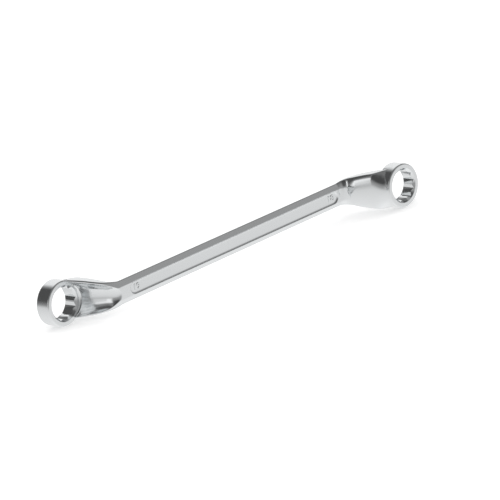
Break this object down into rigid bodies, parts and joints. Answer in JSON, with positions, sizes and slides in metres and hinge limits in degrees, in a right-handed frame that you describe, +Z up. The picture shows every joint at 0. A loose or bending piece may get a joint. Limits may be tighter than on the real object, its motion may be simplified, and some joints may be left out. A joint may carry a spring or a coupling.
{
  "type": "double-ended ring wrench",
  "caption": "Deep offset ring wrench: a slim recessed shank with a twelve-point ring at each end, for turning hexagon nuts and bolts.",
  "frame": {"origin": "middle of the shank, halfway between the two rings; within 0.4 mm of the middle of the bounding box, because the two rings differ a little in size", "axes": "the wrench lies on its side, as in the picture: +X along the ring planes from the large ring to the small one, +Y along both bores towards the large ring's side, +Z up across the shank's width"},
  "size_m": [0.2464, 0.1042, 0.029],
  "materials": {
    "satin_chrome": "satin"
  },
  "bodies": {
    "root": {"forged_wrench": "satin_chrome"}
  },
  "joints": []
}
